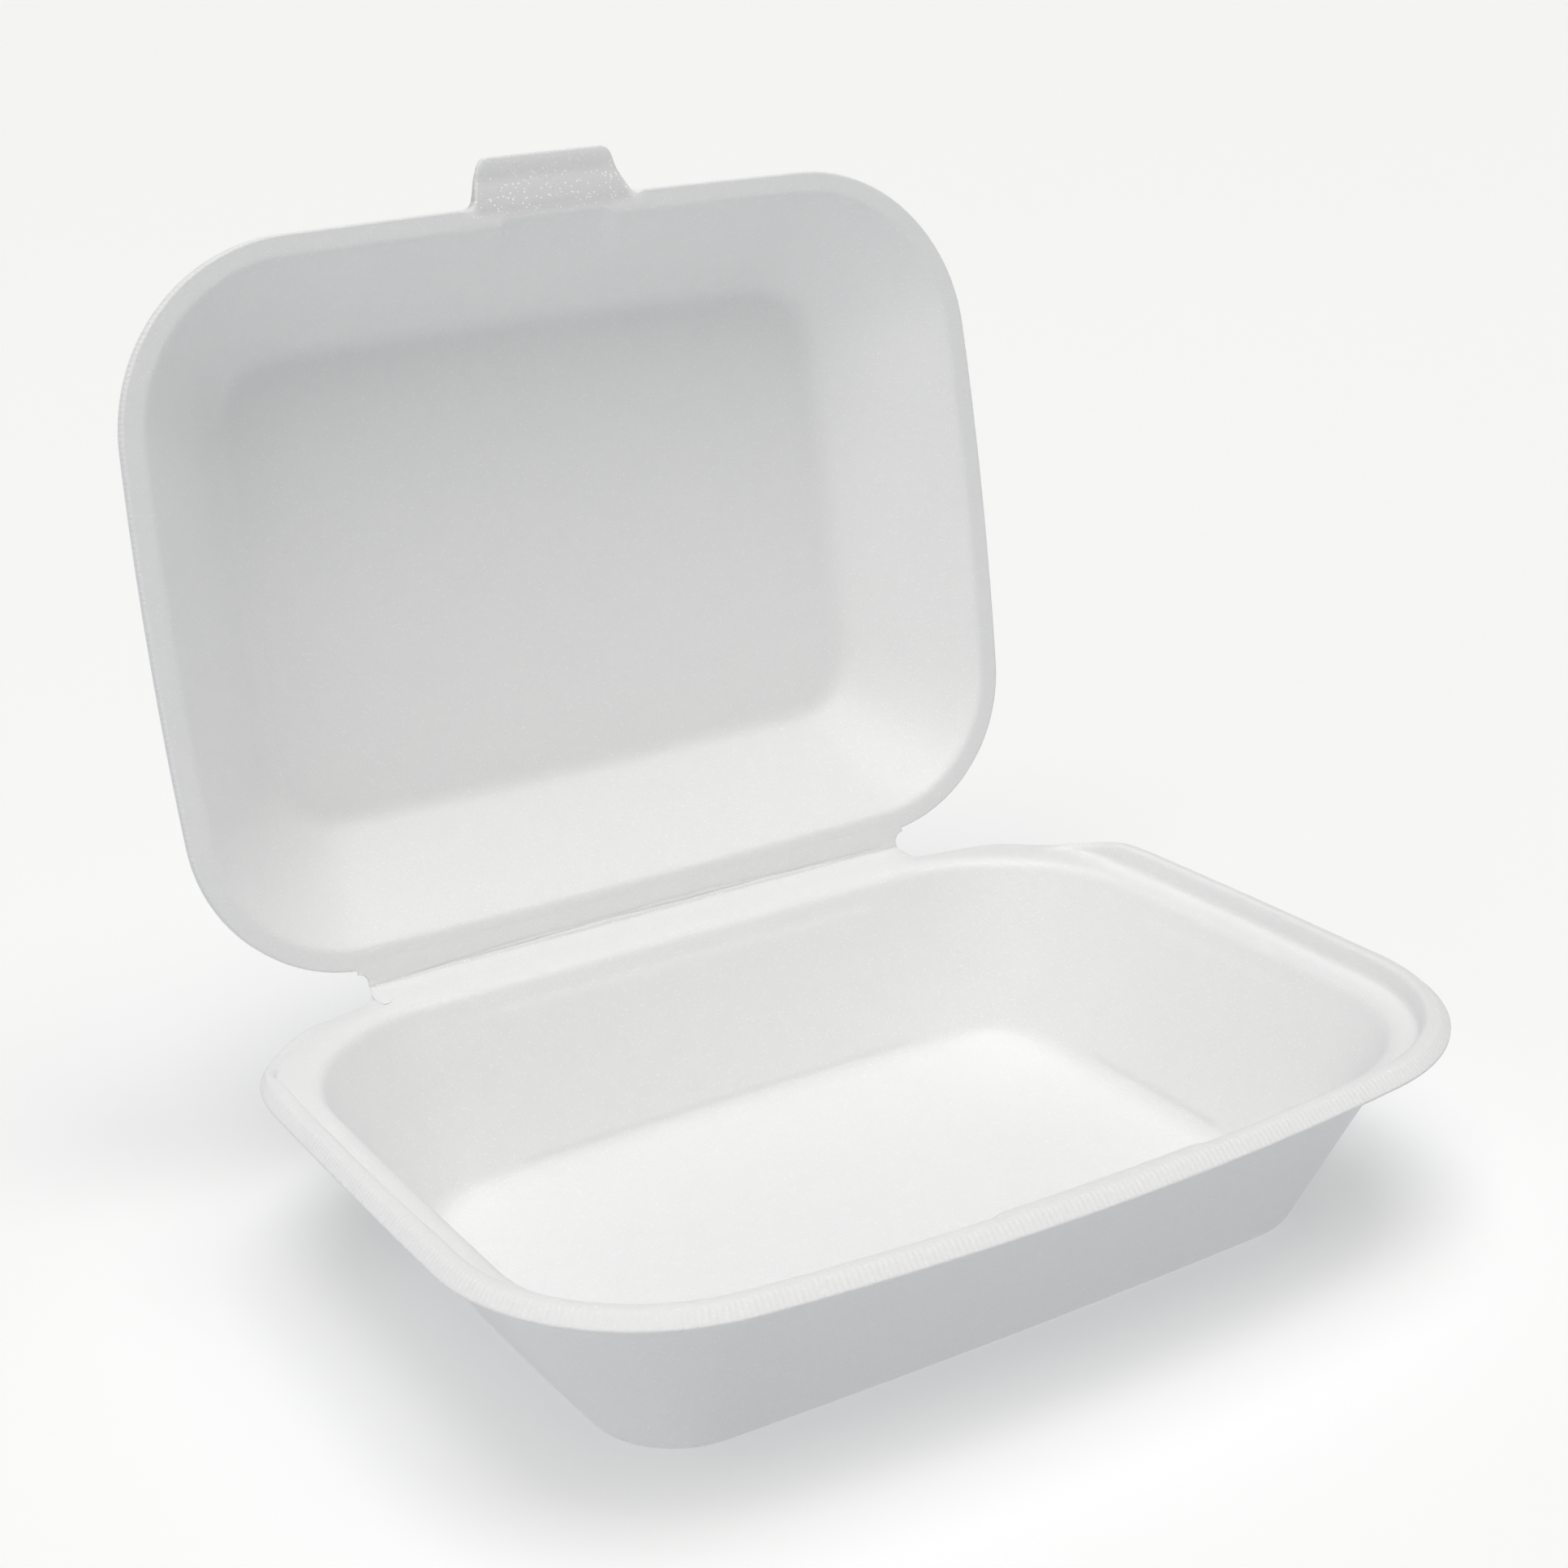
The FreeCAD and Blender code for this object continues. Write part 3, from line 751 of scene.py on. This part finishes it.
def foam_material():
    """White foamed polystyrene of fine cells, a few painted white as glints (painted highlights); ribbed
    where cut, with painted shade (grey) at the tab's root and in the hinge crease.
    """
    material = bpy.data.materials.new("white_foam")
    material.use_nodes = True
    tree = material.node_tree
    shader = tree.nodes["Principled BSDF"]
    shader.subsurface_method = "BURLEY"
    shader.inputs["Subsurface Weight"].default_value = 0.3
    shader.inputs["Subsurface Radius"].default_value = (1.0, 1.0, 1.0)
    shader.inputs["Subsurface Scale"].default_value = 0.0006
    shader.inputs["Specular IOR Level"].default_value = 0.5
    cloud = texture(tree, "ShaderNodeTexNoise", CLOUD_SCALE, Detail=3.0)
    grain = texture(tree, "ShaderNodeTexNoise", GRAIN_SCALE, Detail=2.0)
    cells = texture(tree, "ShaderNodeTexVoronoi", CELL_SCALE)
    body = mix_colours(tree, cloud.outputs["Fac"], BODY_DARK, BODY_LIGHT)
    speckle = math_step(tree, "MULTIPLY", grain.outputs["Fac"], 0.3)
    colour = mix_colours(tree, speckle, body, SPECKLE_COLOUR)
    trim = mark(tree, "trim")
    colour = mix_colours(tree, math_step(tree, "MULTIPLY", trim, 0.6), colour, TRIM_COLOUR)
    # Painted shade at the tab's root and in the hinge crease.
    painted_shade = math_step(tree, "MULTIPLY", mark(tree, "painted_shade"), 0.7)
    colour = mix_colours(tree, painted_shade, colour, PAINTED_SHADE_COLOUR)
    # Painted highlights: a few cells painted white as glints.
    colour = mix_colours(tree, painted_glint_cells(tree), colour, PAINTED_GLINT_COLOUR)
    tree.links.new(colour, shader.inputs["Base Color"])
    rough = math_step(tree, "ADD", math_step(tree, "MULTIPLY", cloud.outputs["Fac"], 0.12), 0.33)
    rough = math_step(tree, "ADD", rough, math_step(tree, "MULTIPLY", trim, 0.3))
    tree.links.new(rough, shader.inputs["Roughness"])
    turns = math_step(tree, "MULTIPLY", mark(tree, "rib"), 2 * math.pi / RIB_PITCH)
    ribs = math_step(tree, "MULTIPLY", math_step(tree, "SINE", turns), trim)
    normal = bump(tree, cells.outputs["Distance"], CELL_DEPTH)
    normal = bump(tree, grain.outputs["Fac"], GRAIN_DEPTH, normal)
    normal = bump(tree, ribs, RIB_DEPTH, normal)
    tree.links.new(normal, shader.inputs["Normal"])
    return material


def make_floor():
    """Plain pale floor, which shows the object's shadow but doesn't light or shade the object."""
    corners = [(FLOOR_HALF * x, FLOOR_HALF * y, 0) for x, y in ((-1, -1), (1, -1), (1, 1), (-1, 1))]
    mesh = bpy.data.meshes.new("floor")
    mesh.from_pydata(corners, [], [(0, 1, 2, 3)])
    floor = bpy.data.objects.new("floor", mesh)
    bpy.context.scene.collection.objects.link(floor)
    material = bpy.data.materials.new("pale_floor")
    material.use_nodes = True
    shader = material.node_tree.nodes["Principled BSDF"]
    shader.inputs["Base Color"].default_value = (0.96, 0.96, 0.96, 1)
    shader.inputs["Roughness"].default_value = 0.7
    shader.inputs["Emission Color"].default_value = (1.0, 1.0, 1.0, 1)
    shader.inputs["Emission Strength"].default_value = 0.14
    mesh.materials.append(material)
    floor.visible_diffuse = False
    floor.visible_shadow = False
    return floor


def soft_sun(name, azimuth, elevation, strength, spread, colour):
    """Large far light that shines alike on the whole scene, from a direction in degrees."""
    data = bpy.data.lights.new(name, "SUN")
    data.energy = strength
    data.angle = math.radians(spread)
    data.color = colour
    light = bpy.data.objects.new(name, data)
    around, up = math.radians(azimuth), math.radians(elevation)
    towards = Vector((math.cos(around) * math.cos(up), math.sin(around) * math.cos(up), math.sin(up)))
    light.rotation_euler = towards.to_track_quat("Z", "Y").to_euler()
    bpy.context.scene.collection.objects.link(light)
    return light


def make_world():
    """Pale room: light from the table below, a bright horizon and a dimmer ceiling."""
    world = bpy.data.worlds.new("studio")
    world.use_nodes = True
    tree = world.node_tree
    place = tree.nodes.new("ShaderNodeTexCoord")
    parts = tree.nodes.new("ShaderNodeSeparateXYZ")
    tree.links.new(place.outputs["Generated"], parts.inputs["Vector"])
    height = math_step(tree, "ADD", math_step(tree, "MULTIPLY", parts.outputs["Z"], 0.5), 0.5)
    ramp = tree.nodes.new("ShaderNodeValToRGB")
    stops = (
        (0.0, LIGHT_FROM_BELOW),
        (0.499, LIGHT_FROM_BELOW),
        (0.5, HORIZON_LIGHT),
        (0.6, CEILING_LIGHT),
        (1.0, CEILING_LIGHT),
    )
    while len(ramp.color_ramp.elements) < len(stops):
        ramp.color_ramp.elements.new(0.5)
    for element, (position, colour) in zip(ramp.color_ramp.elements, stops):
        element.position = position
        element.color = colour + (1.0,)
    tree.links.new(height, ramp.inputs["Fac"])
    tree.links.new(ramp.outputs["Color"], tree.nodes["Background"].inputs["Color"])
    bpy.context.scene.world = world


def make_lights():
    """Soft light overhead, soft keys from the front left and right, and a low light from the left."""
    soft_sun("overhead", 0, 90, 0.78, 40, (0.96, 0.98, 1.0))
    soft_sun("key_left", 225, 62, 0.68, 36, (1.0, 0.97, 0.93))
    soft_sun("key_right", 315, 62, 0.38, 36, (1.0, 0.99, 0.95))
    soft_sun("low_left", 200, 12, 0.3, 36, (1.0, 1.0, 1.0))


def make_camera():
    """Camera at the photograph's place."""
    azimuth = math.radians(CAMERA_AZIMUTH)
    elevation = math.radians(CAMERA_ELEVATION)
    roll = math.radians(CAMERA_ROLL)
    target = Vector(CAMERA_TARGET) * MM
    back = Vector((math.sin(azimuth) * math.cos(elevation), -math.cos(azimuth) * math.cos(elevation),
                   math.sin(elevation)))
    level = Vector((0, 0, 1)).cross(back).normalized()
    upright = back.cross(level)
    right = math.cos(roll) * level + math.sin(roll) * upright
    up = math.cos(roll) * upright - math.sin(roll) * level
    place = target + back * CAMERA_DISTANCE * MM
    data = bpy.data.cameras.new("camera")
    data.sensor_width = 36.0
    data.lens = CAMERA_LENS
    data.shift_x, data.shift_y = CAMERA_SHIFT
    data.clip_start = 0.01
    camera = bpy.data.objects.new("camera", data)
    camera.matrix_world = Matrix((
        (right.x, up.x, back.x, place.x),
        (right.y, up.y, back.y, place.y),
        (right.z, up.z, back.z, place.z),
        (0, 0, 0, 1),
    ))
    bpy.context.scene.collection.objects.link(camera)
    bpy.context.scene.camera = camera


def main():
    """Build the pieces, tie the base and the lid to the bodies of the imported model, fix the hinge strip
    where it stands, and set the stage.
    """
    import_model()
    tray = make_tray()
    lid = make_lid()
    hinge = make_hinge()
    foam = foam_material()
    for piece in (tray, lid, hinge):
        piece.data.materials.append(foam)
    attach(tray, "tray")
    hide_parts("base")
    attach(lid, "cover")
    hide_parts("lid")
    lean = math.radians(LID_OPEN_ANGLE - 90)
    lid_side = np.array([0.0, math.sin(lean), math.cos(lean)])
    along = lid_side + np.array([0.0, 1.0, 0.0])
    along /= np.linalg.norm(along)
    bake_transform(hinge)
    make_floor()
    make_world()
    make_lights()
    make_camera()
    bpy.context.scene.view_settings.view_transform = "Standard"


main()
